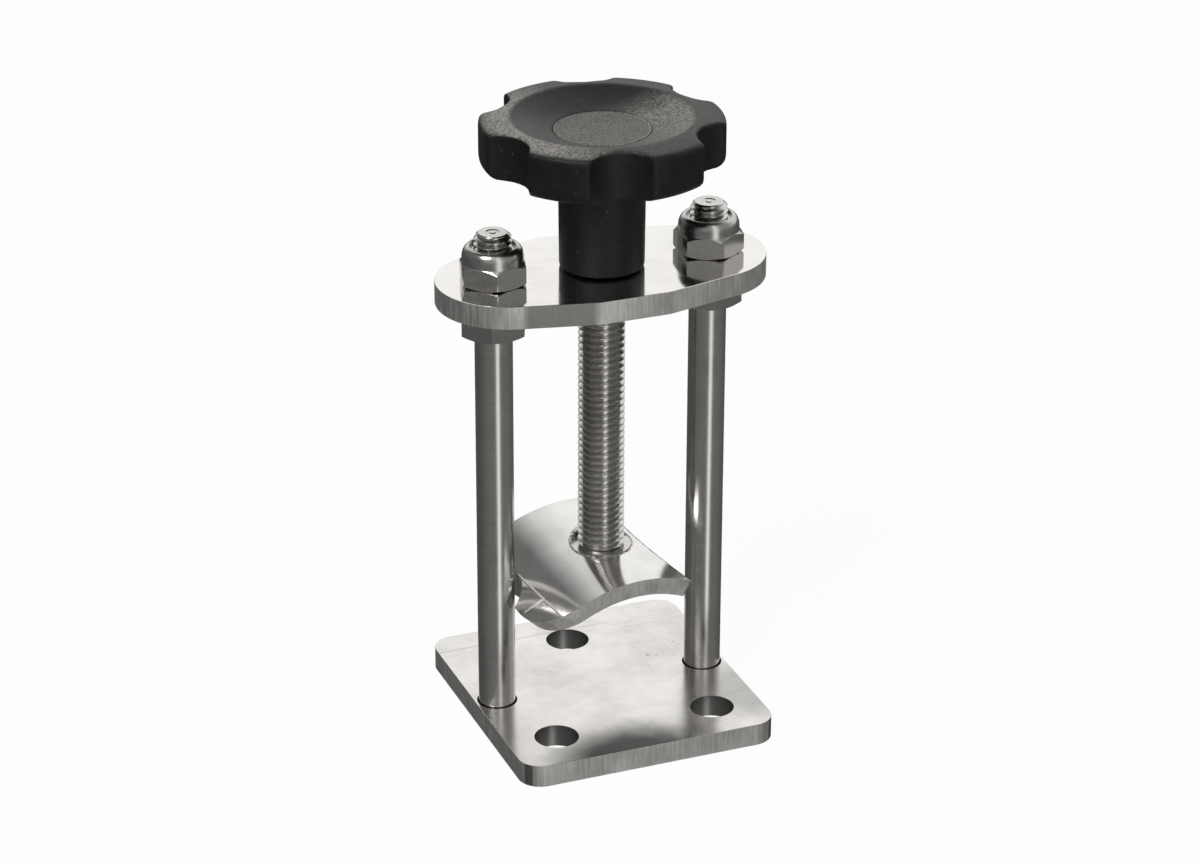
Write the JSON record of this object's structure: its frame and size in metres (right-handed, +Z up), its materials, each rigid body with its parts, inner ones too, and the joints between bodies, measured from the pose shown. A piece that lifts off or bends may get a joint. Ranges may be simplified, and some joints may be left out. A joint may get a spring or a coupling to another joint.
{
  "type": "chain fairlead",
  "caption": "Chain fairlead with a curved tilting saddle on a hand screw, between posts that join a drilled base plate and a lozenge-shaped top plate.",
  "frame": {"origin": "middle of the base plate's lower face, halfway between the two posts", "axes": "+Z up along the posts and the screw, X through both posts, Y along the chain's way with the single rear mounting hole at +Y"},
  "size_m": [0.0722, 0.062, 0.1366],
  "materials": {
    "mill_steel": "ground flat, lightly stained",
    "turned_steel": "satin",
    "polished_steel": "polished",
    "weld": "ground flush",
    "bush_steel": "dark, oiled",
    "nylon": "matte",
    "black_plastic": "fine grained",
    "brass": "turned"
  },
  "bodies": {
    "frame": {"base_plate": "mill_steel", "post_left": "turned_steel", "post_right": "turned_steel", "post_weld_left": "weld", "post_weld_right": "weld", "plain_nut_left": "turned_steel", "plain_nut_right": "turned_steel", "top_plate": "polished_steel", "lock_nut_left": "polished_steel", "lock_nut_right": "polished_steel", "nylon_ring_left": "nylon", "nylon_ring_right": "nylon"},
    "carrier": {"swivel_bush": "bush_steel", "thrust_washer": "turned_steel"},
    "spindle": {"screw": "turned_steel", "knob_body": "black_plastic", "knob_insert": "brass", "knob_cap": "black_plastic", "retaining_ring": "bush_steel"},
    "saddle": {"saddle": "polished_steel"}
  },
  "joints": [
    {"name": "saddle_lift", "type": "slide", "parent": "frame", "child": "carrier", "axis": [0, 0, 1], "range_m": [0, 0.055]},
    {"name": "knob_turn", "type": "hinge", "parent": "carrier", "child": "spindle", "pos_m": [0, 0, 0.0374], "axis": [0, 0, 1], "range_deg": [0, 13200]},
    {"name": "saddle_tilt", "type": "hinge", "parent": "carrier", "child": "saddle", "pos_m": [0, 0, 0.0374], "axis": [0.9945, 0.1045, 0], "range_deg": [-12, 2]}
  ],
  "couplings": [
    {"joint": "knob_turn", "follows": "saddle_lift", "rad_per_m": 4188.8}
  ]
}
